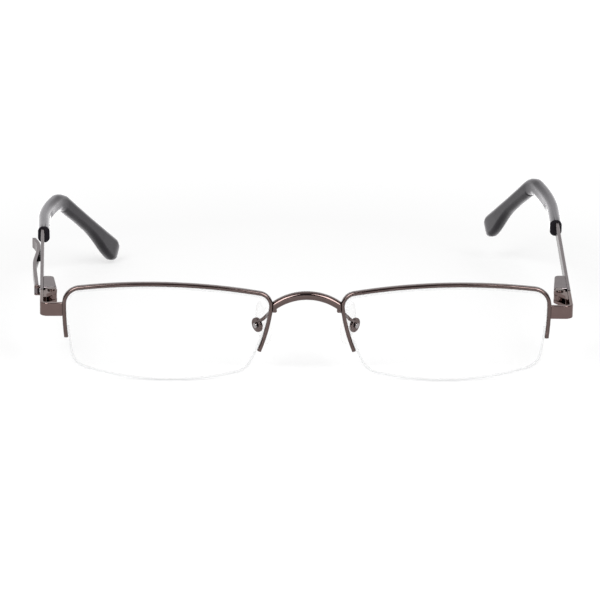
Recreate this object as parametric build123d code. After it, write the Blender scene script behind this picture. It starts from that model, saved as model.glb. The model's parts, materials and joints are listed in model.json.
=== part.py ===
from build123d import *
import math
import os

# Half-rim rectangular reading glasses: a metal top rim and a nylon line hold each lens,
# sprung hinges carry flat temples with moulded tips, and one temple has a pocket clip.
# All lengths are millimetres. +X is the wearer's left, the front faces -Y, +Z is up.
# Each side is drawn at +X, and the wearer's right side is its mirror image.

# Lens outline: shares run from the nose side and from the lowest point of the lens.
lens_width = 50.7
lens_height = 24.1
nose_gap = 18.5
nose_top_shares = (0.0, 0.889)
top_shares = (0.528, 1.0)
ear_top_shares = (1.0, 0.947)
ear_shares = (0.998, 0.597)
ear_foot_shares = (0.966, 0.173)
foot_shares = (0.488, 0.0)
nose_foot_shares = (0.115, 0.105)
nose_shares = (0.024, 0.568)
nose_top_radius = 2.8
ear_top_radius = 3.5
ear_foot_radius = 5.0
nose_foot_radius = 5.5

# Lens body: two shallow spheres, with a groove round its edge.
lens_curve_radius = 600.0
lens_front_bulge = 1.35
lens_back_bulge = 0.75
lens_groove_depth = 0.6
groove_width = 0.62

# Rim: a rounded bar with a groove that faces the lens.
rim_height = 1.0
rim_depth = 2.0
rim_round = 0.46
rim_groove_depth = 0.4
lens_seat_gap = 0.05
rim_ear_length = 12.9
rim_nose_end_reach = 2.7
rim_nose_length = 16.4
rim_nose_end_angle = 18.0

# Liner and nylon line: both lie in the grooves, the line under the rim's ends as well.
liner_depth = 0.84
liner_width = 0.52
line_size = 0.5
line_round = 0.2
line_groove_gap = 0.05
line_tuck = 3.0
line_to_liner_gap = 0.3

# Bridge: an arched bar between the rims.
bridge_drop = 1.2
bridge_height = 2.07
bridge_arch_half_width = 8.2
bridge_top_rise = 2.5
bridge_foot_rise = 2.95
bridge_depth = 2.4
bridge_round = 0.85

# Hinge place and temple set, as worn by this pair: the wearer's left sits higher.
hinge_out = 4.1
hinge_y = 12.0
hinge_drop = 5.15
temple_splay_angle = 1.05
right_temple_angle = 3.3
left_temple_angle = 5.5

# Strip: the flat section that end piece and temple bar share.
strip_inner = 1.95
strip_thickness = 0.85
strip_height = 3.4
strip_round = 0.2
butt_gap = 0.5
end_piece_outer_radius = 2.0
end_piece_inner_radius = 0.9
end_piece_thickness = 1.2

# Hinge: two fixed knuckles, a sliding one between them, and a slotted screw.
knuckle_radius = 1.5
knuckle_half_stack = 1.6
middle_knuckle_radius = 1.45
middle_knuckle_height = 1.36
knuckle_gap = 0.05
leaf_thickness = 0.8
leaf_length = 4.8
leaf_end_gap = 1.75
screw_radius = 0.54
screw_clearance = 0.06
thread_clearance = 0.02
screw_head_radius = 1.0
screw_head_height = 0.45
screw_slot_width = 0.3
screw_slot_depth = 0.25
screw_tail = 0.1

# Spring box: the housing on the temple, with the sliding rod, its spring and its stop.
case_width = 2.6
case_mouth_width = 3.3
case_front = 2.0
case_length = 10.0
case_back_wall = 0.8
case_corner_radius = 1.2
case_round = 0.3
bore_radius = 1.0
rod_offset = 0.6
rod_radius = 0.5
rod_end = 9.6
shoulder_gap = 0.1
shoulder_thickness = 0.35
shoulder_half_width = 0.95
neck_half_width = 0.6
bush_front = 2.4
bush_length = 1.2
running_clearance = 0.05
slider_nut_front = 8.5
slider_nut_length = 1.0
spring_wire = 0.26
spring_radius = 0.75
spring_turns = 6
spring_end_gap = 0.08

# Temple: the bar's length to the tip's mouth, and the tang inside the tip.
tip_mouth = 56.8
tang_length = 18.0
tang_height = 2.7
tang_clearance = 0.03
tip_length = 77.0
tip_width = 3.1
tip_height = 4.4
tip_offset = 0.3
tip_corner_share = 0.45
tip_curl_start = 12.0
right_straight_length = 30.75
left_straight_length = 35.05
bend_length = 7.5
right_drop_angle = 32.6
left_drop_angle = 34.0
right_crease_curl_angle = 17.0
right_end_curl_angle = 26.5
left_crease_curl_angle = 14.0
left_end_curl_angle = 21.0
tip_cap_length = 4.6
lobe_width_shares = (1.0, 1.0, 1.0, 1.0, 1.01, 1.02, 1.03, 1.05, 1.05, 1.03, 1.0)
lobe_height_shares = (1.0, 0.99, 0.965, 0.95, 0.95, 0.96, 1.02, 1.12, 1.25, 1.38, 1.45)
lobe_sag_shares = (0.0, 0.0, 0.0, 0.0, 0.01, 0.02, 0.05, 0.1, 0.165, 0.225, 0.26)
cap_shares = (1.0, 0.986, 0.943, 0.866, 0.745, 0.553, 0.22)
path_steps = 770
sleeve_steps = 18

# Nose pads: a bent wire from the rim, a round cup, a rivet and a soft oval pad.
cup_out = 3.0
cup_y = 7.0
cup_drop = 11.4
pad_turn_angle = 36.0
pad_lean_angle = 8.6
cup_radius = 1.9
cup_thickness = 0.8
cup_round = 0.2
cup_hole_radius = 0.62
rivet_radius = 0.45
rivet_head_radius = 0.72
rivet_head_height = 0.35
rivet_head_gap = 0.15
pad_boss_radius = 1.1
pad_boss_gap = 0.2
pad_boss_height = 0.3
pad_length = 11.5
pad_width = 6.6
pad_thickness = 1.9
pad_round = 0.7
arm_radius = 0.45
arm_root_in = 1.25
arm_root_y = 0.2
arm_root_drop = 6.1
arm_reach = 2.4
arm_knee_ahead = 3.15
arm_knee_up = 2.2
arm_knee_behind = 0.3
arm_bend_radius = 0.8
arm_join_angle = 53.0
foot_width = 1.0
foot_height = 1.0
foot_front = 0.45
foot_back = 0.75
foot_round = 0.38

# Pocket clip: a bowed strip that turns on a pin beside the wearer's right temple.
clip_pin_y = 4.7
clip_eye_radius = 0.7
clip_eye_height = 1.4
clip_eye_gap = 0.1
clip_pin_radius = 0.3
clip_pin_gap = 0.03
clip_ear_height = 0.4
clip_ear_gap = 0.05
clip_pin_head_radius = 0.5
clip_pin_head_height = 0.2
clip_thickness = 0.9
clip_height = 2.6
clip_round = 0.15
clip_bow_y = 25.0
clip_bow = 1.95
clip_touch_y = 41.0
clip_touch_gap = 0.06
clip_end_y = 49.0
clip_lift = 1.3
clip_tangent_shares = ((0.03, 1.0), (0.0, 1.0), (0.0, 1.0), (0.3, 1.0))
clip_pad_start_y = 34.2
clip_pad_end_y = 38.6
clip_pad_height = 1.8
clip_pad_clearance = 0.05

# One overrun serves all cuts, and it is longer than anything that it cuts.
overrun = 40.0


def at_share(shares):
    """A point of the lens outline, from its shares of the lens width and height."""
    return (nose_gap / 2 + shares[0] * lens_width, shares[1] * lens_height)


def round_corner(face, corner, radius):
    """The flat face with the vertex nearest to the corner rounded."""
    nearest = face.vertices().sort_by_distance(Vector(corner[0], corner[1], 0))[0]
    return fillet(nearest, radius)


def lens_outline():
    """The lens edge as a flat face: four bowed sides with rounded corners."""
    nose_top = at_share(nose_top_shares)
    ear_top = at_share(ear_top_shares)
    ear_foot = at_share(ear_foot_shares)
    nose_foot = at_share(nose_foot_shares)
    sides = [
        ThreePointArc(nose_top, at_share(top_shares), ear_top),
        ThreePointArc(ear_top, at_share(ear_shares), ear_foot),
        ThreePointArc(ear_foot, at_share(foot_shares), nose_foot),
        ThreePointArc(nose_foot, at_share(nose_shares), nose_top),
    ]
    face = make_face(sides)
    face = round_corner(face, nose_top, nose_top_radius)
    face = round_corner(face, ear_top, ear_top_radius)
    face = round_corner(face, ear_foot, ear_foot_radius)
    return round_corner(face, nose_foot, nose_foot_radius)


def upright(face, half_depth):
    """A face drawn in x and height, made a slab from the front to the back."""
    return extrude(Plane.XZ * face, amount=half_depth, both=True)


outline = lens_outline()


def moved_out(edge, share, amount):
    """A point of an outline edge, moved straight away from the arc's centre."""
    place = edge @ share
    return place + (place - edge.arc_center).normalized() * amount


def grown(amount):
    """The lens outline moved out by an amount, or in where it is negative, arc by arc."""
    edges = outline.edges()
    arcs = []
    for edge in edges:
        follower = min(edges, key=lambda other: (other @ 0 - edge @ 1).length)
        start = moved_out(edge, 0, amount)
        end = moved_out(follower, 0, amount)
        arcs.append(ThreePointArc(start, moved_out(edge, 1 / 2, amount), end))
    return make_face(arcs)


def band(inner, outer, half_depth):
    """A closed ring that follows the lens edge between two offsets from it."""
    return upright(grown(outer) - grown(inner), half_depth)


def below_rim(lift):
    """The space under the rim's two ends, raised by a lift."""
    slope = math.tan(math.radians(rim_nose_end_angle))
    middle = nose_gap / 2 + lens_width / 2
    nose_x = nose_gap / 2 + rim_nose_end_reach
    nose_z = lens_height - rim_nose_length + lift
    ear_z = lens_height - rim_ear_length + lift
    points = [
        (0, nose_z - nose_x * slope),
        (middle, nose_z + (middle - nose_x) * slope),
        (middle, ear_z),
        (middle + lens_width, ear_z),
        (middle + lens_width, -overrun),
        (0, -overrun),
    ]
    return upright(make_face(Polyline(points, close=True)), overrun)


rim_outside = upright(grown(lens_seat_gap + rim_height), overrun)


def make_rim():
    """The metal bar over the top half of the lens, grooved towards it."""
    ring = band(lens_seat_gap, lens_seat_gap + rim_height, rim_depth / 2)
    ring = fillet(ring.edges(), rim_round)
    groove = band(0, lens_seat_gap + rim_groove_depth, groove_width / 2)
    return ring - groove - below_rim(0)


def make_lens():
    """A clear slab between two shallow spheres, with the groove in its edge."""
    middle_x = nose_gap / 2 + lens_width / 2
    middle_z = lens_height / 2
    front = Pos(middle_x, lens_curve_radius - lens_front_bulge, middle_z) * Sphere(lens_curve_radius)
    back = Pos(middle_x, lens_curve_radius + lens_back_bulge, middle_z) * Sphere(lens_curve_radius)
    slab = upright(outline, lens_front_bulge + lens_back_bulge)
    groove = band(-lens_groove_depth, lens_seat_gap, groove_width / 2)
    return (slab & front) - back - groove


def make_liner():
    """The clear strip between the rim's groove and the lens."""
    ring = band(-liner_depth / 2, liner_depth / 2, liner_width / 2)
    return ring - below_rim(line_tuck + line_to_liner_gap)


def make_line():
    """The nylon line round the lower lens edge, tucked under both rim ends."""
    inner = line_groove_gap - lens_groove_depth
    ring = band(inner, inner + line_size, line_size / 2)
    ring = fillet(ring.edges(), line_round)
    return ring & below_rim(line_tuck)


def make_bridge():
    """The arched bar, cut to lie against the outside of both rims."""
    reach = nose_gap / 2
    spread = (reach / bridge_arch_half_width) ** 2
    crown = lens_height - bridge_drop
    foot_crown = crown - bridge_height
    top_end = crown - bridge_top_rise * spread
    foot_end = foot_crown - bridge_foot_rise * spread
    edges = [
        ThreePointArc((-reach, top_end), (0, crown), (reach, top_end)),
        Line((reach, top_end), (reach, foot_end)),
        ThreePointArc((reach, foot_end), (0, foot_crown), (-reach, foot_end)),
        Line((-reach, foot_end), (-reach, top_end)),
    ]
    bar = upright(make_face(edges), bridge_depth / 2)
    long_edges = bar.edges().filter_by(GeomType.CIRCLE)
    bar = fillet(long_edges, bridge_round)
    return bar - rim_outside - mirror(rim_outside, about=Plane.YZ)


bridge = make_bridge()


def box_between(low, high):
    """A box from its lowest to its highest corner."""
    size = [top - base for base, top in zip(low, high)]
    return Pos(*low) * Box(*size, align=(Align.MIN, Align.MIN, Align.MIN))


def post(radius, low, high):
    """An upright cylinder on the hinge axis."""
    return Pos(0, 0, low) * Cylinder(radius, high - low, align=(Align.CENTER, Align.CENTER, Align.MIN))


def rod_piece(radius, front, back):
    """A cylinder along the spring box's bore."""
    piece = Cylinder(radius, back - front, align=(Align.CENTER, Align.CENTER, Align.MIN))
    return Pos(rod_offset, front, 0) * Rot(-90, 0, 0) * piece


strip_outer = strip_inner + strip_thickness
half_strip = strip_height / 2


def make_end_piece():
    """The flat bar from the rim, bent back to where the temple butts against it."""
    front_y = -hinge_y - end_piece_thickness / 2
    inner_y = front_y + end_piece_thickness
    outer_corner = (strip_outer, front_y)
    inner_corner = (strip_inner, inner_y)
    points = [
        (-hinge_out, front_y),
        outer_corner,
        (strip_outer, -butt_gap / 2),
        (strip_inner, -butt_gap / 2),
        inner_corner,
        (-hinge_out, inner_y),
    ]
    face = make_face(Polyline(points, close=True))
    face = round_corner(face, outer_corner, end_piece_outer_radius)
    face = round_corner(face, inner_corner, end_piece_inner_radius)
    bar = extrude(face, amount=half_strip, both=True)
    rims = bar.faces().sort_by(Axis.Z)
    edges = rims[0].edges() + rims[-1].edges()
    return fillet(edges, strip_round)


def make_hinge_leaf():
    """The plate on the end piece, with its upper and lower knuckle."""
    leaf_inner = strip_inner - leaf_thickness
    leaf_start = -leaf_end_gap - leaf_length
    plate = box_between(
        (leaf_inner, leaf_start, -knuckle_half_stack),
        (strip_inner, -leaf_end_gap, knuckle_half_stack),
    )
    tangent = knuckle_radius / math.sqrt(2)
    leaf_middle = -leaf_end_gap - leaf_length / 2
    web_points = [
        (-tangent, -tangent),
        (leaf_inner, leaf_middle),
        (strip_inner, leaf_middle),
        (strip_inner, -knuckle_radius / 2),
        (0, -knuckle_radius / 2),
        (0, 0),
    ]
    web = make_face(Polyline(web_points, close=True)) + Circle(knuckle_radius)
    gap_top = middle_knuckle_height / 2 + knuckle_gap
    height = knuckle_half_stack - gap_top
    upper = Pos(0, 0, gap_top) * extrude(web, amount=height)
    lower = Pos(0, 0, -knuckle_half_stack) * extrude(web, amount=height)
    hole = post(screw_radius + screw_clearance, 0, knuckle_half_stack)
    thread = post(screw_radius + thread_clearance, -knuckle_half_stack, 0)
    return plate + upper + lower - hole - thread


def make_hinge_screw():
    """The slotted screw down through the knuckles."""
    shank = post(screw_radius, -knuckle_half_stack - screw_tail, knuckle_half_stack)
    head_top = knuckle_half_stack + screw_head_height
    head = post(screw_head_radius, knuckle_half_stack, head_top)
    head = chamfer(head.edges().sort_by(Axis.Z)[-1], screw_head_height / 4)
    slot = box_between(
        (-screw_head_radius, -screw_slot_width / 2, head_top - screw_slot_depth),
        (screw_head_radius, screw_slot_width / 2, head_top),
    )
    return shank + head - slot


def make_hinge_slider():
    """The middle knuckle with its neck, shoulder and rod in one piece."""
    half = middle_knuckle_height / 2
    shoulder_back = case_front - shoulder_gap
    knuckle = post(middle_knuckle_radius, -half, half)
    neck = box_between(
        (rod_offset - neck_half_width, 0, -half),
        (rod_offset + neck_half_width, shoulder_back, half),
    )
    shoulder = box_between(
        (rod_offset - shoulder_half_width, shoulder_back - shoulder_thickness, -shoulder_half_width),
        (rod_offset + shoulder_half_width, shoulder_back, shoulder_half_width),
    )
    rod = rod_piece(rod_radius, shoulder_back - shoulder_thickness, rod_end)
    hole = post(screw_radius + screw_clearance, -half, half)
    return knuckle + neck + shoulder + rod - hole


def ring_on_rod(outer, inner, front, length):
    """A collar round the rod."""
    return rod_piece(outer, front, front + length) - rod_piece(inner, front, front + length)


def make_stop_bush():
    """The bush in the box's mouth that the spring pushes against."""
    outer = bore_radius - thread_clearance
    return ring_on_rod(outer, rod_radius + running_clearance, bush_front, bush_length)


def make_slider_nut():
    """The nut on the rod's far end that squeezes the spring when the rod is drawn out."""
    outer = bore_radius - running_clearance
    return ring_on_rod(outer, rod_radius + thread_clearance, slider_nut_front, slider_nut_length)


def make_slider_spring():
    """The coil spring round the rod, from the bush to the nut."""
    start = bush_front + bush_length + spring_end_gap + spring_wire / 2
    end = slider_nut_front - spring_end_gap - spring_wire / 2
    pitch = (end - start) / spring_turns
    print("spring gap between turns", round(pitch - spring_wire, 3))
    coil = Helix(pitch=pitch, height=end - start, radius=spring_radius)
    wire = sweep(Plane(coil @ 0, z_dir=coil % 0) * Circle(spring_wire / 2), path=coil)
    return Pos(rod_offset, start, 0) * Rot(-90, 0, 0) * wire


def make_spring_case():
    """The box on the inside of the temple that holds the rod and spring."""
    back = case_front + case_length
    back_corner = (strip_inner - case_width, back)
    points = [
        (strip_inner - case_mouth_width, case_front),
        (strip_inner, case_front),
        (strip_inner, back),
        back_corner,
    ]
    face = round_corner(make_face(Polyline(points, close=True)), back_corner, case_corner_radius)
    box = extrude(face, amount=half_strip, both=True)
    flat_faces = box.faces().sort_by(Axis.Z)
    seam = box.faces().sort_by(Axis.X)[-1]
    edges = [
        edge
        for face in (flat_faces[0], flat_faces[-1])
        for edge in face.edges()
        if edge.center().X < seam.center().X - thread_clearance
    ]
    box = fillet(edges, case_round)
    return box - rod_piece(bore_radius, case_front, back - case_back_wall)


def make_temple_bar():
    """The flat bar from the hinge to the tip, with its tang inside the tip."""
    bar = box_between((strip_inner, butt_gap / 2, -half_strip), (strip_outer, tip_mouth, half_strip))
    bar = fillet(bar.edges().filter_by(Axis.Y), strip_round)
    tang = box_between(
        (strip_inner, tip_mouth, -tang_height / 2),
        (strip_outer, tip_mouth + tang_length, tang_height / 2),
    )
    return bar + tang


def clamped(share):
    """A share of a way, held between its two ends."""
    return min(max(share, 0), 1)


def tip_path(straight, drop_angle, crease_curl_angle, end_curl_angle):
    """Points and directions along the tip: a slight inward curl, a quick ear bend, then straight."""
    step = tip_length / path_steps
    place = Vector(strip_inner + strip_thickness / 2 - tip_offset, tip_mouth, 0)
    path = []
    for count in range(path_steps + 1):
        run = count * step
        into_curl = clamped((run - tip_curl_start) / (straight - tip_curl_start))
        into_bend = clamped((run - straight) / bend_length)
        drop = math.radians(into_bend * drop_angle)
        curl_angle = into_curl * crease_curl_angle + into_bend * (end_curl_angle - crease_curl_angle)
        curl = math.radians(curl_angle)
        level = math.cos(drop)
        ahead = Vector(-math.sin(curl) * level, math.cos(curl) * level, -math.sin(drop))
        inward = Vector(-math.cos(curl), -math.sin(curl), 0)
        path.append((place, ahead, inward))
        place = place + ahead * step
    return path


def tip_section(path, run, wide, tall, sag):
    """One flat section of the tip, at its run along the path."""
    place, ahead, inward = path[round(run / tip_length * path_steps)]
    width = tip_width * wide
    height = tip_height * tall
    corner = min(width, height) * tip_corner_share
    plane = Plane(origin=place, x_dir=inward, z_dir=ahead)
    return plane * Pos(0, -tip_height * sag) * RectangleRounded(width, height, corner)


def tip_stretch(path, start, end, sizes):
    """One stretch of the tip through evenly spaced sections, one for each width, height and sag."""
    last = len(sizes) - 1
    step = (end - start) / last
    return loft([tip_section(path, start + count * step, *size) for count, size in enumerate(sizes)])


def make_temple_tip(path, straight):
    """The moulded tip: an even sleeve over the tang and the bend, a deep lobe and a round end."""
    bend_end = straight + bend_length
    cap_start = tip_length - tip_cap_length
    sleeve = [(1, 1, 0)] * (sleeve_steps + 1)
    lobe = list(zip(lobe_width_shares, lobe_height_shares, lobe_sag_shares))
    end_width, end_height, end_sag = lobe[-1]
    cap = [(end_width * share, end_height * share, end_sag) for share in cap_shares]
    body = tip_stretch(path, 0, bend_end, sleeve)
    body += tip_stretch(path, bend_end, cap_start, lobe)
    body += tip_stretch(path, cap_start, tip_length, cap)
    half_socket = tang_height / 2 + tang_clearance
    socket_end = tip_mouth + tang_length + tang_clearance
    socket = box_between(
        (strip_inner - tang_clearance, tip_mouth - overrun, -half_socket),
        (strip_outer + tang_clearance, socket_end, half_socket),
    )
    return body - socket


pad_plane = Plane(
    origin=(nose_gap / 2 + cup_out, cup_y, lens_height - cup_drop),
    x_dir=(-math.sin(math.radians(pad_turn_angle)), -math.cos(math.radians(pad_turn_angle)), 0),
    z_dir=(
        -math.cos(math.radians(pad_turn_angle)) * math.cos(math.radians(pad_lean_angle)),
        math.sin(math.radians(pad_turn_angle)) * math.cos(math.radians(pad_lean_angle)),
        math.sin(math.radians(pad_lean_angle)),
    ),
)


def on_pad(radius, low, high):
    """A cylinder along the pad's own axis."""
    piece = Cylinder(radius, high - low, align=(Align.CENTER, Align.CENTER, Align.MIN))
    return pad_plane * Pos(0, 0, low) * piece


def make_pad_cup():
    """The round metal cup that carries the pad."""
    half = cup_thickness / 2
    cup = Cylinder(cup_radius, cup_thickness)
    cup = fillet(cup.edges(), cup_round)
    return pad_plane * cup - on_pad(cup_hole_radius, -half, half)


def make_pad_arm():
    """The bent wire from the rim's nose side to the cup's edge."""
    root = Vector(nose_gap / 2 - arm_root_in, arm_root_y, lens_height - arm_root_drop)
    join = math.radians(arm_join_angle)
    inside_cup = cup_radius - arm_radius
    join_place = Vector(inside_cup * math.cos(join), inside_cup * math.sin(join), 0)
    end = pad_plane.from_local_coords(join_place)
    knee = pad_plane.from_local_coords(Vector(arm_knee_ahead, arm_knee_up, -arm_knee_behind))
    route = FilletPolyline(root, root + Vector(0, arm_reach, 0), knee, end, radius=arm_bend_radius)
    wire = sweep(Plane(route @ 0, z_dir=route % 0) * Circle(arm_radius), path=route)
    foot = box_between(
        (root.X - foot_width / 2, root.Y - foot_front, root.Z - foot_height / 2),
        (root.X + rim_height, root.Y + foot_back, root.Z + foot_height / 2),
    )
    foot = fillet(foot.edges().filter_by(Axis.Y), foot_round)
    cup_space = on_pad(cup_radius, -arm_radius, arm_radius)
    rim_space = upright(grown(lens_seat_gap + rim_height), rim_depth / 2)
    return foot + wire - rim_space - cup_space - bridge


def make_pad_rivet():
    """The rivet through the cup, loose enough for the pad to rock."""
    head_back = -cup_thickness / 2 - rivet_head_gap
    head = Cylinder(rivet_head_radius, rivet_head_height)
    head = fillet(head.edges().group_by(Axis.Z)[0], rivet_head_height / 2)
    head = pad_plane * Pos(0, 0, head_back - rivet_head_height / 2) * head
    return head + on_pad(rivet_radius, head_back, cup_thickness / 2 + pad_boss_gap)


def make_nose_pad():
    """The soft oval pad with the boss that stands towards the cup."""
    boss_low = cup_thickness / 2 + pad_boss_gap
    body_low = boss_low + pad_boss_height
    oval = extrude(Pos(0, 0, body_low) * Ellipse(pad_width / 2, pad_length / 2), amount=pad_thickness)
    oval = fillet(oval.edges().group_by(Axis.Z)[-1], pad_round)
    return pad_plane * oval + on_pad(pad_boss_radius, boss_low, body_low)


clip_pin_x = strip_outer + clip_eye_gap + clip_eye_radius


def clip_post(radius, low, high):
    """An upright cylinder on the clip's pin axis."""
    return Pos(clip_pin_x, clip_pin_y, 0) * post(radius, low, high)


def clip_curve(side_shift):
    """The clip strip's line, shifted sideways from its middle."""
    start = Vector(clip_pin_x + side_shift, clip_pin_y)
    bow = Vector(strip_outer + clip_bow - clip_thickness / 2 + side_shift, clip_bow_y)
    touch_middle = strip_outer + clip_touch_gap + clip_thickness / 2
    touch = Vector(touch_middle + side_shift, clip_touch_y)
    end = Vector(touch_middle + clip_lift + side_shift, clip_end_y)
    tangents = [Vector(*tangent) for tangent in clip_tangent_shares]
    return Spline(start, bow, touch, end, tangents=tangents)


def make_pocket_clip():
    """The bowed strip with the eye that turns on the pin."""
    half = clip_thickness / 2
    outer = clip_curve(half)
    inner = clip_curve(-half)
    face = make_face([outer, Line(outer @ 1, inner @ 1), inner, Line(inner @ 0, outer @ 0)])
    strip = extrude(face, amount=clip_height / 2, both=True)
    end_edges = strip.edges().filter_by(Axis.Z).group_by(Axis.Y)[-1]
    strip = fillet(end_edges, clip_round)
    narrow = clip_pin_y + clip_eye_radius + clip_ear_height
    half_eye = clip_eye_height / 2
    keep_low = box_between((strip_outer, 0, half_eye), (strip_outer + overrun, narrow, overrun))
    strip = strip - keep_low - mirror(keep_low, about=Plane.XY)
    eye = clip_post(clip_eye_radius, -half_eye, half_eye)
    return strip + eye - clip_post(clip_pin_radius + clip_pin_gap, -half_eye, half_eye)


def make_clip_bracket():
    """The two ears on the temple's outside that hold the pin."""
    ear_low = clip_eye_height / 2 + clip_ear_gap
    ear_high = ear_low + clip_ear_height
    block = box_between(
        (strip_outer, clip_pin_y - clip_eye_radius, ear_low),
        (clip_pin_x, clip_pin_y + clip_eye_radius, ear_high),
    )
    round_end = clip_post(clip_eye_radius, ear_low, ear_high)
    hole = clip_post(clip_pin_radius, ear_low, ear_high)
    ear = block + round_end - hole
    return ear + mirror(ear, about=Plane.XY)


def make_clip_pin():
    """The headed pin through the ears and the eye."""
    ear_high = clip_eye_height / 2 + clip_ear_gap + clip_ear_height
    pin = clip_post(clip_pin_radius, -ear_high, ear_high)
    return pin + clip_post(clip_pin_head_radius, ear_high, ear_high + clip_pin_head_height)


def make_clip_pad():
    """The small black pad on the clip's inner face, short of where it touches."""
    inner = clip_curve(-clip_thickness / 2)
    block = box_between(
        (strip_outer + clip_pad_clearance, clip_pad_start_y, -clip_pad_height / 2),
        (strip_outer + clip_bow, clip_pad_end_y, clip_pad_height / 2),
    )
    far_end = Vector(strip_outer + overrun, clip_end_y)
    far_start = Vector(strip_outer + overrun, clip_pin_y)
    rest = Polyline(inner @ 1, far_end, far_start, inner @ 0)
    clip_side = extrude(make_face([inner, rest]), amount=clip_height, both=True)
    return block - clip_side


def make_side(lift_angle, path, straight):
    """All pieces of one side, drawn at +X, and the place of its temple."""
    hinge = Pos(nose_gap / 2 + lens_width + hinge_out, hinge_y, lens_height - hinge_drop)
    place = hinge * Rot(lift_angle, 0, 0) * Rot(0, 0, -temple_splay_angle)
    pieces = {
        "rim": make_rim(),
        "rim_liner": make_liner(),
        "lens": make_lens(),
        "nylon_line": make_line(),
        "end_piece": place * make_end_piece() - rim_outside,
        "hinge_leaf": place * make_hinge_leaf(),
        "hinge_screw": place * make_hinge_screw(),
        "hinge_slider": place * make_hinge_slider(),
        "slider_nut": place * make_slider_nut(),
        "slider_spring": place * make_slider_spring(),
        "stop_bush": place * make_stop_bush(),
        "spring_case": place * make_spring_case(),
        "temple_bar": place * make_temple_bar(),
        "temple_tip": place * make_temple_tip(path, straight),
        "pad_arm": make_pad_arm(),
        "pad_cup": make_pad_cup(),
        "pad_rivet": make_pad_rivet(),
        "nose_pad": make_nose_pad(),
    }
    return pieces, place


left_path = tip_path(
    left_straight_length, left_drop_angle, left_crease_curl_angle, left_end_curl_angle
)
right_path = tip_path(
    right_straight_length, right_drop_angle, right_crease_curl_angle, right_end_curl_angle
)
left_pieces, left_place = make_side(left_temple_angle, left_path, left_straight_length)
right_pieces, right_place = make_side(right_temple_angle, right_path, right_straight_length)
right_pieces["clip_bracket"] = right_place * make_clip_bracket()
right_pieces["clip_pin"] = right_place * make_clip_pin()
right_pieces["pocket_clip"] = right_place * make_pocket_clip()
right_pieces["clip_pad"] = right_place * make_clip_pad()

pieces = {"bridge": bridge}
for name, solid in left_pieces.items():
    pieces["left_" + name] = solid
for name, solid in right_pieces.items():
    full_name = name if "clip" in name else "right_" + name
    pieces[full_name] = mirror(solid, about=Plane.YZ)

# The origin is under the middle of the whole pair, at the height that it rests on.
boxes = [solid.bounding_box() for solid in pieces.values()]
low_x = min(box.min.X for box in boxes)
high_x = max(box.max.X for box in boxes)
low_y = min(box.min.Y for box in boxes)
high_y = max(box.max.Y for box in boxes)
low_z = min(box.min.Z for box in boxes)
to_origin = Pos(-(low_x + high_x) / 2, -(low_y + high_y) / 2, -low_z)

os.makedirs("parts", exist_ok=True)
for name, solid in pieces.items():
    export_step(to_origin * solid, "parts/" + name + ".step")

print("front plane y", -(low_y + high_y) / 2, "middle x", -(low_x + high_x) / 2, "floor z", -low_z)
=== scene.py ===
# %% [markdown]
# Half-rim reading glasses, open on a white table.
# The metal frame, hinges, lenses and tips come from the construction model, in metres, and already
# stand where they belong. This lesson gives each of them the surface of the real thing, rounds the
# edges that a polishing wheel would round, and models the two soft nose pads.

# %% Load the frame
import json
import math

import bmesh
import bpy
from mathutils import Matrix, Vector

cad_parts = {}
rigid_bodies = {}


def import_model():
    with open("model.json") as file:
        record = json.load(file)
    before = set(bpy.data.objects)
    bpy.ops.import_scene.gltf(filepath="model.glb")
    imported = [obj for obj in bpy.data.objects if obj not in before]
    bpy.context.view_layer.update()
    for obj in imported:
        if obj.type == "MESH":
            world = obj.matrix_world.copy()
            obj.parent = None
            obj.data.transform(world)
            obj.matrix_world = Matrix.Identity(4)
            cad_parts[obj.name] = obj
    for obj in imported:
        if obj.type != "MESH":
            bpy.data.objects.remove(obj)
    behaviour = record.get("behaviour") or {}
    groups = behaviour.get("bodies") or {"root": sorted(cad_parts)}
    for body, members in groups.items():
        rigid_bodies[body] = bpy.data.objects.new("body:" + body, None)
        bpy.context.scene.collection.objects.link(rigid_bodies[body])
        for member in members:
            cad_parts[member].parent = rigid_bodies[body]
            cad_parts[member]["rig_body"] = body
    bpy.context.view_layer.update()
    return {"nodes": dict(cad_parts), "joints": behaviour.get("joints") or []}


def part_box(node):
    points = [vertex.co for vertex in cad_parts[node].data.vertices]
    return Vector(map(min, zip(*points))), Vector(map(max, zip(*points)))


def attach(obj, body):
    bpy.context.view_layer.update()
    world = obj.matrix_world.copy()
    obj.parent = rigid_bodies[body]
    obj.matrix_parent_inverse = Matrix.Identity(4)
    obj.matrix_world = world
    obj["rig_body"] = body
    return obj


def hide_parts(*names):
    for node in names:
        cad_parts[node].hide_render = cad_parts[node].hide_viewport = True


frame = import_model()
nodes = frame["nodes"]
MM = 0.001
SIDES = ("left", "right")
print("pieces in the frame:", len(nodes))

# %% [markdown]
# The photograph is taken from the front, a little from above, with a long lens. Plain facts place
# its camera: how far away it stands, how steeply it looks down, how little it is turned and
# tilted, and how many pixels a metre takes up at the glasses. A point under the bridge then has
# to land on its own pixel, and that says where the camera aims.

# %% Camera
CAMERA_DISTANCE = 1300 * MM
CAMERA_ELEVATION = math.radians(13.45)
CAMERA_YAW = math.radians(-1.65)
CAMERA_ROLL = math.radians(0.5)
PICTURE_SIZE = 600
PIXELS_PER_METRE = 4000.0
TARGET_HEIGHT = 12 * MM
TARGET_PIXEL = (307.0, 333.9)
SENSOR_WIDTH = 36
NEAREST_SEEN = 0.05
FURTHEST_SEEN = 50


def direction(azimuth, elevation):
    """Unit vector from the glasses: azimuth 0 is the front, and more of it turns to the right."""
    return Vector((
        math.sin(azimuth) * math.cos(elevation),
        -math.cos(azimuth) * math.cos(elevation),
        math.sin(elevation),
    ))


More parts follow.
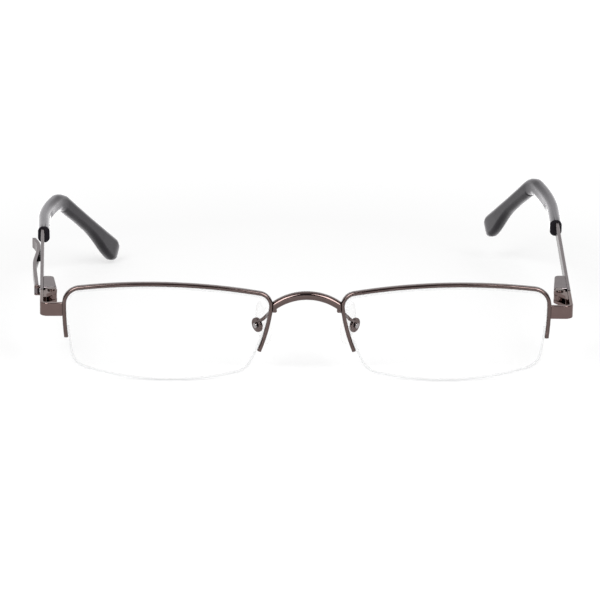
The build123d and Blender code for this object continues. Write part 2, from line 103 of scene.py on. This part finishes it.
bridge_low, bridge_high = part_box("bridge")
middle_x = (bridge_low.x + bridge_high.x) / 2
front_y = (bridge_low.y + bridge_high.y) / 2
target = Vector((middle_x, front_y, TARGET_HEIGHT))
towards_camera = direction(CAMERA_YAW, CAMERA_ELEVATION)
camera_right = Vector((math.cos(CAMERA_YAW), math.sin(CAMERA_YAW), 0))
camera_up = towards_camera.cross(camera_right)
right_of_middle = (TARGET_PIXEL[0] - PICTURE_SIZE / 2) / PIXELS_PER_METRE
below_middle = (TARGET_PIXEL[1] - PICTURE_SIZE / 2) / PIXELS_PER_METRE
camera_place = target + towards_camera * CAMERA_DISTANCE
aim = target - camera_right * right_of_middle + camera_up * below_middle

bpy.ops.object.camera_add(location=camera_place)
camera = bpy.context.object
camera.name = "photo_camera"
look = (aim - camera_place).to_track_quat("-Z", "Y")
camera.rotation_euler = (look.to_matrix() @ Matrix.Rotation(CAMERA_ROLL, 3, "Z")).to_euler()
camera.data.sensor_width = SENSOR_WIDTH
camera.data.lens = SENSOR_WIDTH * PIXELS_PER_METRE * CAMERA_DISTANCE / PICTURE_SIZE
camera.data.clip_start = NEAREST_SEEN
camera.data.clip_end = FURTHEST_SEEN
bpy.context.scene.camera = camera
print("lens:", round(camera.data.lens), "mm")

# %% [markdown]
# Shader sums read best as sums. A small class wraps the output socket of a node, and every
# operator on it adds one Math node, so a line of arithmetic in Python becomes the same arithmetic
# in the material.

# %% A value on a surface


class Field:
    """A number that changes over a surface. Sums with it add Math nodes."""

    def __init__(self, finish, socket):
        self.finish = finish
        self.socket = socket

    def sum(self, operation, first, second):
        return self.finish.node("ShaderNodeMath", {"operation": operation}, {0: first, 1: second})

    def __add__(self, other):
        return self.sum("ADD", self, other)

    def __mul__(self, other):
        return self.sum("MULTIPLY", self, other)

    def __rsub__(self, other):
        return self.sum("SUBTRACT", other, self)

    __radd__ = __add__
    __rmul__ = __mul__


# %% [markdown]
# A second class holds a new material. One method adds any node, and the short ones beside it are
# the few that come back in every finish: soft noise, a tone between two colours, and bump.

# %% A new material
WHITE = (1, 1, 1, 1)
BLACK = (0, 0, 0, 1)
SOFT_DETAIL = 2
FINE_DETAIL = 3
TONE_DARKEST = 0.3
TONE_LIGHTEST = 0.7


class Finish:
    """A new material with its main shader, and the method that adds nodes to it."""

    def __init__(self, name, **values):
        self.material = bpy.data.materials.new(name)
        self.material.use_nodes = True
        self.tree = self.material.node_tree
        self.shader = self.tree.nodes["Principled BSDF"]
        self.places = self.node("ShaderNodeTexCoord", output="Object")
        for words, value in values.items():
            self.set(words.replace("_", " ").title().replace("Ior", "IOR"), value)

    def feed(self, socket, value):
        if isinstance(value, Field):
            self.tree.links.new(value.socket, socket)
        else:
            socket.default_value = value

    def set(self, name, value):
        self.feed(self.shader.inputs[name], value)

    def node(self, kind, settings=None, sockets=None, output=0):
        made = self.tree.nodes.new(kind)
        for name, value in (settings or {}).items():
            if name == "stops":
                self.set_stops(made.color_ramp, value)
            else:
                setattr(made, name, value)
        for name, value in (sockets or {}).items():
            self.feed(made.inputs[name], value)
        return Field(self, made.outputs[output])

    def set_stops(self, ramp, stops):
        while len(ramp.elements) < len(stops):
            ramp.elements.new(1)
        for element, (position, colour) in zip(ramp.elements, stops):
            element.position = position
            element.color = colour

    def noise(self, size, detail=SOFT_DETAIL, stretch=(1, 1, 1)):
        """Soft noise whose spots are about one size across, in metres."""
        stretched = self.node(
            "ShaderNodeMapping", {}, {"Vector": self.places, "Scale": stretch}
        )
        return self.node(
            "ShaderNodeTexNoise", {},
            {"Vector": stretched, "Scale": 1 / size, "Detail": detail}, output="Fac",
        )

    def ramp(self, value, *stops):
        return self.node("ShaderNodeValToRGB", {"stops": stops}, {"Fac": value})

    def tone(self, cloud, dark, light):
        """A colour between two others, where a noise is neither low nor high."""
        return self.ramp(cloud, (TONE_DARKEST, dark), (TONE_LIGHTEST, light))

    def bump(self, height, depth, strength):
        """Fine relief of a depth in metres."""
        relief = self.node(
            "ShaderNodeBump", {}, {"Height": height, "Distance": depth, "Strength": strength}
        )
        self.set("Normal", relief)


def wear(pieces, finish):
    """Gives pieces one finish."""
    for piece in pieces:
        piece.data.materials.clear()
        piece.data.materials.append(finish.material)


def tell(*finishes):
    print("finishes:", ", ".join(finish.material.name for finish in finishes))


# %% [markdown]
# The construction model is made of loose triangles, so a polished curve in it would show facets.
# Each piece that shows is therefore copied, its corners are merged, and its sharp edges get the
# small round that tumbling and polishing give to real frame parts. The copy then stands for the
# node and rides on the same body. A weighted normal keeps flat faces flat beside such a round.

# %% How a copy is polished
FLAT_ANGLE = math.radians(0.6)
SHARP_ANGLE = math.radians(32)
MERGE_GAP = 0.0005 * MM
ROUND_SEGMENTS = 3


def select_only(piece):
    bpy.ops.object.select_all(action="DESELECT")
    piece.select_set(True)
    bpy.context.view_layer.objects.active = piece


def merged_copy(name):
    """A copy of a node whose loose triangles are joined into one skin."""
    copied = bpy.data.objects.new(name + "_polished", nodes[name].data.copy())
    bpy.context.scene.collection.objects.link(copied)
    select_only(copied)
    bpy.ops.mesh.customdata_custom_splitnormals_clear()
    bpy.ops.object.mode_set(mode="EDIT")
    bpy.ops.mesh.select_all(action="SELECT")
    bpy.ops.mesh.remove_doubles(threshold=MERGE_GAP)
    bpy.ops.mesh.dissolve_limited(angle_limit=FLAT_ANGLE)
    bpy.ops.object.mode_set(mode="OBJECT")
    return copied


def apply_modifier(piece, kind, **settings):
    select_only(piece)
    modifier = piece.modifiers.new(kind.title(), kind)
    for setting, value in settings.items():
        setattr(modifier, setting, value)
    bpy.ops.object.modifier_apply(modifier=modifier.name)


def stand_for(piece, name):
    """The piece replaces a node and moves as the node does."""
    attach(piece, nodes[name]["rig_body"])
    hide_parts(name)


def polish(name, edge_round):
    """A smooth copy of a node, with rounded edges, that stands for it."""
    copied = merged_copy(name)
    if edge_round:
        apply_modifier(
            copied, "BEVEL", width=edge_round, segments=ROUND_SEGMENTS, limit_method="ANGLE",
            angle_limit=SHARP_ANGLE, use_clamp_overlap=True,
        )
    select_only(copied)
    bpy.ops.object.shade_smooth_by_angle(angle=SHARP_ANGLE)
    apply_modifier(copied, "WEIGHTED_NORMAL", keep_sharp=True)
    stand_for(copied, name)
    return copied


# %% [markdown]
# How wide a round is depends on the piece. The drawn wire of rim and bridge comes nearly round
# from the model and needs little, while the hinge blocks and the spring case are tumbled until
# their corners are soft. Widths are in millimetres, and 0 leaves an edge as it is. The nylon line
# and what lies hidden in the hinge keep their plain solids. A round takes material off, so no copy
# may be larger than its node.

# %% Polish what shows
EDGE_ROUNDS = {
    "bridge": 0.06, "rim": 0.06, "end_piece": 0.16, "hinge_leaf": 0.22, "hinge_slider": 0.22,
    "hinge_screw": 0.05, "spring_case": 0.28, "temple_bar": 0.08, "pad_arm": 0.05,
    "pad_cup": 0.05, "pad_rivet": 0.03, "temple_tip": 0.12, "clip_bracket": 0.06,
    "clip_pin": 0.06, "pocket_clip": 0.1, "lens": 0, "rim_liner": 0, "clip_pad": 0.22,
}


def kind_of(name):
    """A piece's name without its side."""
    first, _, rest = name.partition("_")
    return rest if first in SIDES else name


def growth(piece, name):
    """How far a piece reaches past the high side of its node's box."""
    node_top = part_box(name)[1]
    return max(
        max(corner[axis] for corner in piece.bound_box) - node_top[axis] for axis in range(3)
    )


shown = {}
for name in nodes:
    if kind_of(name) in EDGE_ROUNDS:
        shown[name] = polish(name, EDGE_ROUNDS[kind_of(name)] * MM)
largest_growth = max(growth(piece, name) for name, piece in shown.items())
print("polished copies:", len(shown), "largest growth:", round(largest_growth / MM, 3), "mm")

# %% [markdown]
# The nose pads are soft clear silicone, so their solids don't stay. A real pad is a plump oval:
# fuller towards the skin, flatter behind, narrower at the top, with a small boss that the rivet
# goes into. A sphere squeezed to that size has the right roundness already, and a boss is
# extruded from its back. It is modelled lying at the origin, with its skin side up. Faces are
# picked in face mode and from nothing, because unpicking a face takes its neighbours' corners
# along, and then the pad comes out a little different each time.

# %% How a nose pad is made
PAD_HALF_WIDTH = 3.25 * MM
PAD_HALF_LENGTH = 5.7 * MM
PAD_HALF_THICKNESS = 0.95 * MM
BACK_START = 0.3 * PAD_HALF_THICKNESS
BACK_CENTRE = 0.2 * PAD_HALF_THICKNESS
BACK_FLATNESS = 0.62
TOP_START = 0.55 * PAD_HALF_LENGTH
TOP_NARROWNESS = 0.84
BOSS_RADIUS = 1.1 * MM
BOSS_HEIGHT = 0.28 * MM


def select_faces(piece, chosen):
    """In edit mode: selects exactly the faces whose middle passes a test."""
    bpy.ops.mesh.select_mode(type="FACE")
    bpy.ops.mesh.select_all(action="DESELECT")
    mesh = bmesh.from_edit_mesh(piece.data)
    for face in mesh.faces:
        if chosen(face.calc_center_median()):
            face.select_set(True)
    bmesh.update_edit_mesh(piece.data)


def make_pad():
    """One pad, lying on its back at the origin."""
    bpy.ops.object.select_all(action="DESELECT")
    bpy.ops.mesh.primitive_uv_sphere_add(segments=40, ring_count=24, radius=1)
    pad = bpy.context.object
    bpy.ops.object.mode_set(mode="EDIT")
    size = (PAD_HALF_WIDTH, PAD_HALF_LENGTH, PAD_HALF_THICKNESS)
    bpy.ops.transform.resize(value=size, center_override=(0, 0, 0))
    select_faces(pad, lambda middle: middle.z < -BACK_START)
    bpy.ops.transform.resize(value=(1, 1, BACK_FLATNESS), center_override=(0, 0, -BACK_CENTRE))
    select_faces(pad, lambda middle: middle.y > TOP_START)
    bpy.ops.transform.resize(
        value=(TOP_NARROWNESS, 1, 1), center_override=(0, 0, 0), use_proportional_edit=True,
        proportional_edit_falloff="SMOOTH", proportional_size=PAD_HALF_LENGTH,
    )
    select_faces(pad, lambda middle: middle.z < 0 and middle.xy.length < BOSS_RADIUS)
    bpy.ops.mesh.extrude_region_move(TRANSFORM_OT_translate={"value": (0, 0, -BOSS_HEIGHT)})
    bpy.ops.object.mode_set(mode="OBJECT")
    return pad


# %% [markdown]
# Each pad then goes to its place. The joint that it tilts on lies in its arm's cup, and the pad's
# middle lies a little nearer to the nose. The skin side looks at the nose, turned 36 degrees
# towards the back and leaning slightly up.

# %% Nose pads
PAD_REACH = 1.85 * MM
PAD_TURN = math.radians(36)
PAD_LEAN = math.radians(8.6)


def pad_place(side):
    """Where the pad's middle lies, and which way it looks, for one side."""
    across = 1 if side == "left" else -1
    joint = next(j for j in frame["joints"] if j["name"] == side + "_pad_tilt")
    to_nose = Vector((
        -across * math.cos(PAD_TURN) * math.cos(PAD_LEAN),
        math.sin(PAD_TURN) * math.cos(PAD_LEAN),
        math.sin(PAD_LEAN),
    ))
    forward = Vector((-across * math.sin(PAD_TURN), -math.cos(PAD_TURN), 0))
    upward = to_nose.cross(forward)
    if upward.z < 0:
        upward = -upward
    turned = Matrix((upward.cross(to_nose), upward, to_nose)).transposed()
    return Vector(joint["pos_m"]) + PAD_REACH * to_nose, turned


for side in SIDES:
    pad = make_pad()
    pad.name = side + "_silicone_pad"
    place, turned = pad_place(side)
    pad.matrix_world = Matrix.Translation(place) @ turned.to_4x4()
    select_only(pad)
    bpy.ops.object.transform_apply(location=True, rotation=True, scale=True)
    apply_modifier(pad, "SUBSURF", levels=1, render_levels=1)
    bpy.ops.object.shade_smooth()
    stand_for(pad, side + "_nose_pad")
    shown[side + "_nose_pad"] = pad
    print(pad.name, "faces:", len(pad.data.polygons))

# %% [markdown]
# The metal is coated in a dark coffee lacquer that stays glossy. The colour of a metal is the
# colour of its reflections, so the base colour sets how brown a white wall looks in it. Fine
# polishing lines and a slightly uneven coat keep it from looking like plastic. The rims are the
# darkest and glossiest, and the temples are paler and duller.

# %% Lacquered metal
COAT_ROUGHNESS = 0.05
COAT_CLOUD_SIZE = 2.4 * MM
COAT_CLOUD_SHARE = 0.15
SMEAR_SIZE = 2.5 * MM
SMEAR_SHARE = 0.05
GRAIN_SIZE = 0.1 * MM
GRAIN_SHARE = 0.03
GRAIN_DEPTH = 0.002 * MM
GRAIN_STRENGTH = 0.25


def lacquered_metal(name, dark, light, roughness, coat, grazing_tint):
    finish = Finish(
        name, metallic=1.0, coat_roughness=COAT_ROUGHNESS, specular_tint=grazing_tint
    )
    cloud = finish.noise(COAT_CLOUD_SIZE, FINE_DETAIL)
    finish.set("Base Color", finish.tone(cloud, dark, light))
    grain = finish.noise(GRAIN_SIZE)
    smear = finish.noise(SMEAR_SIZE)
    finish.set("Roughness", roughness + SMEAR_SHARE * smear + GRAIN_SHARE * grain)
    finish.set("Coat Weight", coat + COAT_CLOUD_SHARE * cloud)
    finish.bump(grain, GRAIN_DEPTH, GRAIN_STRENGTH)
    return finish


hinge_lacquer = lacquered_metal(
    "hinge_lacquer", (0.126, 0.087, 0.081, 1), (0.146, 0.100, 0.093, 1), 0.11, 0.15,
    (0.80, 0.77, 0.76, 1),
)
rim_lacquer = lacquered_metal(
    "rim_lacquer", (0.078, 0.049, 0.044, 1), (0.094, 0.060, 0.054, 1), 0.05, 0.7,
    (0.42, 0.37, 0.37, 1),
)
temple_lacquer = lacquered_metal(
    "temple_lacquer", (0.142, 0.122, 0.127, 1), (0.164, 0.142, 0.147, 1), 0.2, 0.15,
    (0.72, 0.70, 0.70, 1),
)
tell(hinge_lacquer, rim_lacquer, temple_lacquer)

# %% [markdown]
# The temple tips are polished black plastic: almost black where they face the viewer, and pale
# where they are seen edge on, because any plastic mirrors strongly at a grazing angle. Its clear
# skin adds to that, and only there, so its weight rises with the fourth power of how far the
# surface turns away.

# %% Black tips
TIP_DARK = (0.0065, 0.0055, 0.0075, 1)
TIP_LIGHT = (0.0110, 0.0095, 0.0125, 1)
TIP_TINT = (0.97, 0.92, 1.0, 1)
TIP_CLOUD_SIZE = 3 * MM
TIP_ROUGHNESS = 0.28
TIP_SMEAR_SIZE = 1.4 * MM
TIP_SMEAR_SHARE = 0.08
SKIN_ROUGHNESS = 0.16
SKIN_WEIGHT = 2.9
SKIN_CLOUD_SHARE = 0.3
RIPPLE_SIZE = 0.6 * MM
RIPPLE_DEPTH = 0.004 * MM
RIPPLE_STRENGTH = 0.3

tip_black = Finish(
    "tip_black", coat_roughness=SKIN_ROUGHNESS, specular_ior_level=0.1, specular_tint=TIP_TINT,
    coat_tint=TIP_TINT,
)
tip_cloud = tip_black.noise(TIP_CLOUD_SIZE, FINE_DETAIL)
tip_black.set("Base Color", tip_black.tone(tip_cloud, TIP_DARK, TIP_LIGHT))
tip_smear = tip_black.noise(TIP_SMEAR_SIZE, FINE_DETAIL)
tip_black.set("Roughness", TIP_ROUGHNESS + TIP_SMEAR_SHARE * tip_smear)
edge_on = tip_black.node("ShaderNodeLayerWeight", {}, {"Blend": 0.5}, output="Facing")
edge_on_squared = edge_on * edge_on
skin_weight = SKIN_WEIGHT + SKIN_CLOUD_SHARE * tip_cloud
tip_black.set("Coat Weight", skin_weight * edge_on_squared * edge_on_squared)
tip_black.bump(tip_black.noise(RIPPLE_SIZE), RIPPLE_DEPTH, RIPPLE_STRENGTH)
tell(tip_black)

# %% [markdown]
# The small hardware is turned on a lathe, which leaves fine lines round it: steel for the screws,
# nuts and rivets, and brass for the bush in the mouth of each spring case. The drawn wire of the
# coil springs has such lines too.

# %% Small hardware
LATHE_LINE = 0.1 * MM
LATHE_STRETCH = (1, 1, 5)
LATHE_SHARE = 0.12
LATHE_DEPTH = 0.004 * MM
LATHE_STRENGTH = 0.4


def turned_metal(name, dark, light, roughness):
    finish = Finish(name, metallic=1.0)
    lines = finish.noise(LATHE_LINE, FINE_DETAIL, LATHE_STRETCH)
    finish.set("Base Color", finish.tone(lines, dark, light))
    finish.set("Roughness", roughness + LATHE_SHARE * lines)
    finish.bump(lines, LATHE_DEPTH, LATHE_STRENGTH)
    return finish


rivet_steel = turned_metal("rivet_steel", (0.27, 0.25, 0.25, 1), (0.38, 0.36, 0.36, 1), 0.1)
screw_steel = turned_metal("screw_steel", (0.17, 0.14, 0.135, 1), (0.27, 0.23, 0.22, 1), 0.14)
coil_steel = turned_metal("coil_steel", (0.40, 0.40, 0.41, 1), (0.56, 0.55, 0.55, 1), 0.22)
bush_brass = turned_metal("bush_brass", (0.52, 0.36, 0.15, 1), (0.70, 0.50, 0.24, 1), 0.25)
tell(rivet_steel, screw_steel, coil_steel, bush_brass)

# %% [markdown]
# The lens is almost invisible against white. Its polished faces let nearly all the light through,
# and only the cut edge, whose faces look outwards from the lens, shows as a pale grey line. The
# mask for that comes from the surface's own normal, so it is the same from every side.

# %% Lens
FRONT_AND_BACK = (0, 1, 0)
LENS_GREY = (0.42, 0.43, 0.44, 1)
LENS_FACE_DENSITY = 0.004
LENS_EDGE_DENSITY = 0.2
LENS_HAZE = 0.004
LENS_HAZE_SIZE = 4 * MM


def edge_share(finish, axis):
    """Zero on faces that look along an axis, one on faces at right angles to it."""
    normal = finish.node("ShaderNodeNewGeometry", output="Normal")
    along = finish.node(
        "ShaderNodeVectorMath", {"operation": "DOT_PRODUCT"}, {0: normal, 1: axis},
        output="Value",
    )
    return 1 - finish.node("ShaderNodeMath", {"operation": "ABSOLUTE"}, {0: along})


lens_clear = Finish("lens_clear", roughness=0.03, ior=1.5)
lens_clear.set("Base Color", LENS_GREY)
lens_edge = edge_share(lens_clear, FRONT_AND_BACK)
lens_haze = lens_clear.noise(LENS_HAZE_SIZE)
lens_clear.set(
    "Alpha", LENS_FACE_DENSITY + LENS_EDGE_DENSITY * lens_edge + LENS_HAZE * lens_haze
)
tell(lens_clear)

# %% [markdown]
# The other clear pieces are softer and a little cloudy: the liner in the rim's groove, the nylon
# line under the lens, and the silicone pads. A pad is thickest to look through at its rim, so it
# gets the same mask as the lens, about the axis that its skin side looks along.

# %% Clear plastic
HAZE_SIZE = 1.2 * MM
HAZE_DENSITY = 0.04
HAZE_ROUGHNESS = 0.1
HAZE_DARKENING = 0.95
EDGE_DENSITY = 0.2


def clear_plastic(name, colour, density, roughness, open_axis=None):
    """A hazy clear plastic, denser at its edge where it has an axis to look through along."""
    finish = Finish(name, ior=1.42)
    haze = finish.noise(HAZE_SIZE, FINE_DETAIL)
    darker = tuple(HAZE_DARKENING * part for part in colour) + (1,)
    finish.set("Base Color", finish.tone(haze, darker, colour + (1,)))
    finish.set("Roughness", roughness + HAZE_ROUGHNESS * haze)
    density = density + HAZE_DENSITY * haze
    if open_axis:
        density = density + EDGE_DENSITY * edge_share(finish, open_axis)
    finish.set("Alpha", density)
    return finish


liner_plastic = clear_plastic("liner_plastic", (0.88, 0.87, 0.87), 0.05, 0.3)
line_nylon = clear_plastic("line_nylon", (0.55, 0.56, 0.57), 0.14, 0.2)
pad_silicone = {}
for side in SIDES:
    skin_axis = tuple(pad_place(side)[1].col[2])
    pad_silicone[side] = clear_plastic(
        side + "_pad_silicone", (0.90, 0.88, 0.87), 0.04, 0.22, skin_axis
    )
tell(liner_plastic, line_nylon, *pad_silicone.values())

# %% [markdown]
# A small bumper sits between the clip and the temple. It is matt black rubber, with a grain so
# fine that it only dulls the surface.

# %% Clip bumper
RUBBER_DARK = (0.012, 0.012, 0.012, 1)
RUBBER_LIGHT = (0.028, 0.028, 0.028, 1)
RUBBER_GRAIN_SIZE = 0.15 * MM
RUBBER_GRAIN_DEPTH = 0.01 * MM
RUBBER_GRAIN_STRENGTH = 0.5

clip_rubber = Finish("clip_rubber", roughness=0.55)
rubber_grain = clip_rubber.noise(RUBBER_GRAIN_SIZE, FINE_DETAIL)
clip_rubber.set("Base Color", clip_rubber.tone(rubber_grain, RUBBER_DARK, RUBBER_LIGHT))
clip_rubber.bump(rubber_grain, RUBBER_GRAIN_DEPTH, RUBBER_GRAIN_STRENGTH)
tell(clip_rubber)

# %% [markdown]
# Every piece now gets its finish by its kind, so that left and right can't differ. A node and the
# copy that stands for it get the same one. Only the pads have a finish for each side, because
# their mask follows the way that each pad looks.

# %% Give each node its finish
FINISHES = {
    "bridge": rim_lacquer,
    "rim": rim_lacquer,
    "end_piece": hinge_lacquer,
    "hinge_leaf": hinge_lacquer,
    "hinge_slider": hinge_lacquer,
    "hinge_screw": screw_steel,
    "spring_case": temple_lacquer,
    "temple_bar": temple_lacquer,
    "pad_arm": rim_lacquer,
    "pad_cup": rim_lacquer,
    "pad_rivet": rivet_steel,
    "lens": lens_clear,
    "rim_liner": liner_plastic,
    "nylon_line": line_nylon,
    "temple_tip": tip_black,
    "slider_nut": screw_steel,
    "slider_spring": coil_steel,
    "stop_bush": bush_brass,
    "clip_bracket": hinge_lacquer,
    "clip_pin": hinge_lacquer,
    "pocket_clip": temple_lacquer,
    "clip_pad": clip_rubber,
}
for side in SIDES:
    FINISHES[side + "_nose_pad"] = pad_silicone[side]
for name, node in nodes.items():
    finish = FINISHES[name if name in FINISHES else kind_of(name)]
    wear([node, shown.get(name, node)], finish)
print("dressed nodes:", len(nodes))

# %% [markdown]
# The table is one large white sheet. The camera, mirrors and glass see it shine plain white, but
# part of its white is still its own lit surface, so that it keeps the glasses' shadow. Further
# out it all shines, and no lamp has to reach there.

# %% Table
TABLE_SIZE = 12
TABLE_GREY = (0.34, 0.34, 0.34, 1)
SHINE_NEAR = 0.645
SHINE_FAR = 1.0
SHADOW_REACH = (0.12, 0.45)


def seen_share(finish):
    """One where a ray comes from the camera, a mirror or through glass, and zero elsewhere."""
    total = 0
    for kind in ("Is Camera Ray", "Is Glossy Ray", "Is Transmission Ray"):
        total = finish.node("ShaderNodeLightPath", output=kind) + total
    return total


bpy.ops.object.select_all(action="DESELECT")
bpy.ops.mesh.primitive_plane_add(size=TABLE_SIZE, location=(0, 0, 0))
table = bpy.context.object
table.name = "table"
table_white = Finish("table_white", roughness=1.0, specular_ior_level=0.0)
table_white.set("Base Color", TABLE_GREY)
distance = table_white.node(
    "ShaderNodeVectorMath", {"operation": "LENGTH"}, {0: table_white.places}, output="Value"
)
far_share = table_white.node(
    "ShaderNodeMapRange", {},
    {"Value": distance, "From Min": SHADOW_REACH[0], "From Max": SHADOW_REACH[1]},
)
shine = SHINE_NEAR + (SHINE_FAR - SHINE_NEAR) * far_share
table_white.set("Emission Color", WHITE)
table_white.set("Emission Strength", seen_share(table_white) * shine)
wear([table], table_white)
tell(table_white)

# %% [markdown]
# Polished metal looks like what stands around it. The photograph shows two bright streaks on the
# bridge with a dark gap between them, so two soft boxes stand left and right above the camera.
# The world gives a soft fill, and is plain white for whatever sees it directly or in a mirror.

# %% Light
FILL_LIGHT = 0.32
SOFTBOX_RADIANCE = 10.5
SOFTBOX_SIZE = (0.36, 0.62)
SOFTBOX_DISTANCE = 0.9
SOFTBOX_AZIMUTHS = {"left": math.radians(-26), "right": math.radians(27)}
SOFTBOX_ELEVATION = math.radians(34)


class World(Finish):
    """The world's nodes, made with the same method."""

    def __init__(self, name):
        self.world = bpy.data.worlds.new(name)
        self.world.use_nodes = True
        self.tree = self.world.node_tree
        self.shader = self.tree.nodes["Background"]


studio = World("studio")
bpy.context.scene.world = studio.world
studio.set("Color", WHITE)
studio.set("Strength", FILL_LIGHT + (1 - FILL_LIGHT) * seen_share(studio))
for turn, azimuth in SOFTBOX_AZIMUTHS.items():
    place = SOFTBOX_DISTANCE * direction(azimuth, SOFTBOX_ELEVATION)
    bpy.ops.object.light_add(type="AREA", location=target + place)
    softbox = bpy.context.object
    softbox.name = "softbox_" + turn
    softbox.rotation_euler = (-place).to_track_quat("-Z", "Y").to_euler()
    softbox.data.shape = "RECTANGLE"
    softbox.data.size, softbox.data.size_y = SOFTBOX_SIZE
    softbox.data.energy = SOFTBOX_RADIANCE * math.pi * SOFTBOX_SIZE[0] * SOFTBOX_SIZE[1]
    softbox.visible_camera = False
    print(softbox.name, round(softbox.data.energy, 2), "W")
bpy.context.scene.view_settings.view_transform = "Standard"

# %% [markdown]
# The gap between the streaks is the dim room behind the camera. It is a quarter of a large ball
# that only mirrors see, dark like a wall low down and paler like a ceiling near its top, and it
# shines by itself, so that no lamp changes it.

# %% Dark room behind the camera
ROOM_RADIUS = 2.4
ROOM_WALL = (0.10, 0.09, 0.10, 1)
ROOM_CEILING = (0.38, 0.35, 0.36, 1)
ROOM_LOW = math.sin(math.radians(2))
ROOM_HIGH = math.sin(math.radians(84))
WALL_TOP = 0.72
CEILING_START = 0.92

bpy.ops.object.select_all(action="DESELECT")
bpy.ops.mesh.primitive_uv_sphere_add(segments=48, ring_count=48, radius=ROOM_RADIUS)
room = bpy.context.object
room.name = "dark_room"
bpy.ops.object.mode_set(mode="EDIT")
select_faces(
    room,
    lambda middle: middle.y > 0 or not ROOM_LOW < middle.normalized().z < ROOM_HIGH,
)
bpy.ops.mesh.delete(type="FACE")
bpy.ops.object.mode_set(mode="OBJECT")
for ray in ("camera", "diffuse", "transmission", "volume_scatter", "shadow"):
    setattr(room, "visible_" + ray, False)
room_dark = Finish("room_dark", roughness=1.0, specular_ior_level=0.0)
room_dark.set("Base Color", BLACK)
height = room_dark.node(
    "ShaderNodeVectorMath", {"operation": "DOT_PRODUCT"},
    {0: room_dark.places, 1: (0, 0, 1 / ROOM_RADIUS)}, output="Value",
)
room_dark.set(
    "Emission Color",
    room_dark.ramp(height, (WALL_TOP, ROOM_WALL), (CEILING_START, ROOM_CEILING)),
)
room_dark.set("Emission Strength", 1.0)
wear([room], room_dark)
print("room faces:", len(room.data.polygons))
tell(room_dark)
